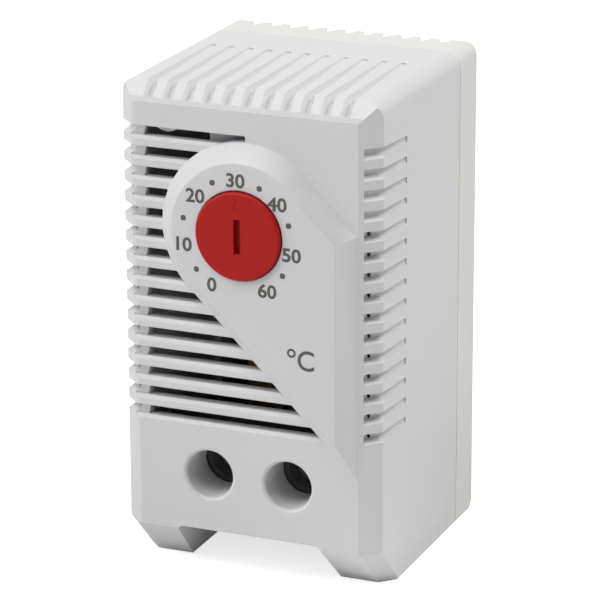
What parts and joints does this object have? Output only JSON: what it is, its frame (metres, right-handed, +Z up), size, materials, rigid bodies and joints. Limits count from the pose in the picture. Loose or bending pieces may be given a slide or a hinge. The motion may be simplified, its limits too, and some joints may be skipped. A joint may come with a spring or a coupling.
{
  "type": "bimetal cabinet thermostat",
  "caption": "Small louvred box with a turnable red dial knob, two screw terminals and a rear rail clip; a bimetal strip inside opens a contact when it gets warm.",
  "frame": {"origin": "on the floor under the feet, in the middle of the overall width and depth", "axes": "+Z up, -Y out of the dial, +X to the right seen from the front"},
  "size_m": [0.033, 0.043, 0.0607],
  "materials": {
    "housing_grey": "fine satin moulded",
    "cover_grey": "fine satin moulded",
    "carrier_dark": "moulded",
    "knob_red": "moulded",
    "brass": "plain",
    "cage_brass": "dull",
    "plated_steel": "zinc plated",
    "spring_steel": "plain",
    "rivet_metal": "plain",
    "bimetal": "rolled",
    "pusher_white": "moulded",
    "spring_bronze": "rolled",
    "contact_silver": "plain"
  },
  "bodies": {
    "root": {"front_housing": "housing_grey", "rear_cover": "cover_grey", "contact_carrier": "carrier_dark", "spindle_nut": "brass", "mechanism_frame": "plated_steel", "frame_screws": "plated_steel", "pivot_pin": "plated_steel", "arm_spring": "spring_steel", "spring_spacer": "brass", "spring_rivet": "rivet_metal", "fixed_contact": "contact_silver", "terminal_plate_left": "brass", "terminal_plate_right": "brass"},
    "knob": {"setting_knob": "knob_red"},
    "spindle": {"adjusting_spindle": "brass"},
    "setting_arm": {"setting_arm": "plated_steel", "arm_rivets": "rivet_metal"},
    "bimetal": {"bimetal_strip": "bimetal", "bimetal_pusher": "pusher_white"},
    "contact": {"contact_spring": "spring_bronze", "moving_contact": "contact_silver"},
    "screw_left": {"terminal_screw_left": "plated_steel"},
    "screw_right": {"terminal_screw_right": "plated_steel"},
    "cage_left": {"clamp_cage_left": "cage_brass"},
    "cage_right": {"clamp_cage_right": "cage_brass"}
  },
  "joints": [
    {"name": "knob_turn", "type": "hinge", "parent": "root", "child": "knob", "pos_m": [0, -0.0205, 0.044], "axis": [0, 1, 0], "range_deg": [-150, 150]},
    {"name": "spindle_feed", "type": "slide", "parent": "knob", "child": "spindle", "axis": [0, 1, 0], "range_m": [-0.00014603, 0.00014603]},
    {"name": "arm_tilt", "type": "hinge", "parent": "root", "child": "setting_arm", "pos_m": [0, -0.0059, 0.0559], "axis": [1, 0, 0], "range_deg": [-0.7, 0.7], "deforming": ["arm_spring"]},
    {"name": "bimetal_bend", "type": "hinge", "parent": "setting_arm", "child": "bimetal", "pos_m": [0, -0.00515, 0.0533], "axis": [1, 0, 0], "range_deg": [0, 1], "stiffness_Nm_per_rad": 0.02, "deforming": ["bimetal_strip"]},
    {"name": "contact_open", "type": "hinge", "parent": "root", "child": "contact", "pos_m": [0, 0.0011, 0.0223], "axis": [-1, 0, 0], "range_deg": [0, 6.76], "deforming": ["contact_spring"]},
    {"name": "screw_left_turn", "type": "hinge", "parent": "root", "child": "screw_left", "pos_m": [-0.0051, -0.0069, 0.0129], "axis": [0, 1, 0], "range_deg": [0, 1440]},
    {"name": "cage_left_rise", "type": "slide", "parent": "root", "child": "cage_left", "axis": [0, -1, 0], "range_m": [0, 0.0024]},
    {"name": "screw_right_turn", "type": "hinge", "parent": "root", "child": "screw_right", "pos_m": [0.0051, -0.0069, 0.0129], "axis": [0, 1, 0], "range_deg": [0, 1440]},
    {"name": "cage_right_rise", "type": "slide", "parent": "root", "child": "cage_right", "axis": [0, -1, 0], "range_m": [0, 0.0024]}
  ],
  "couplings": [
    {"joint": "knob_turn", "follows": "spindle_feed", "rad_per_m": -17952},
    {"joint": "arm_tilt", "follows": "spindle_feed", "rad_per_m": 84.034},
    {"joint": "contact_open", "follows": "bimetal_bend", "ratio": 6.75},
    {"joint": "screw_left_turn", "follows": "cage_left_rise", "rad_per_m": 10472},
    {"joint": "screw_right_turn", "follows": "cage_right_rise", "rad_per_m": 10472}
  ]
}
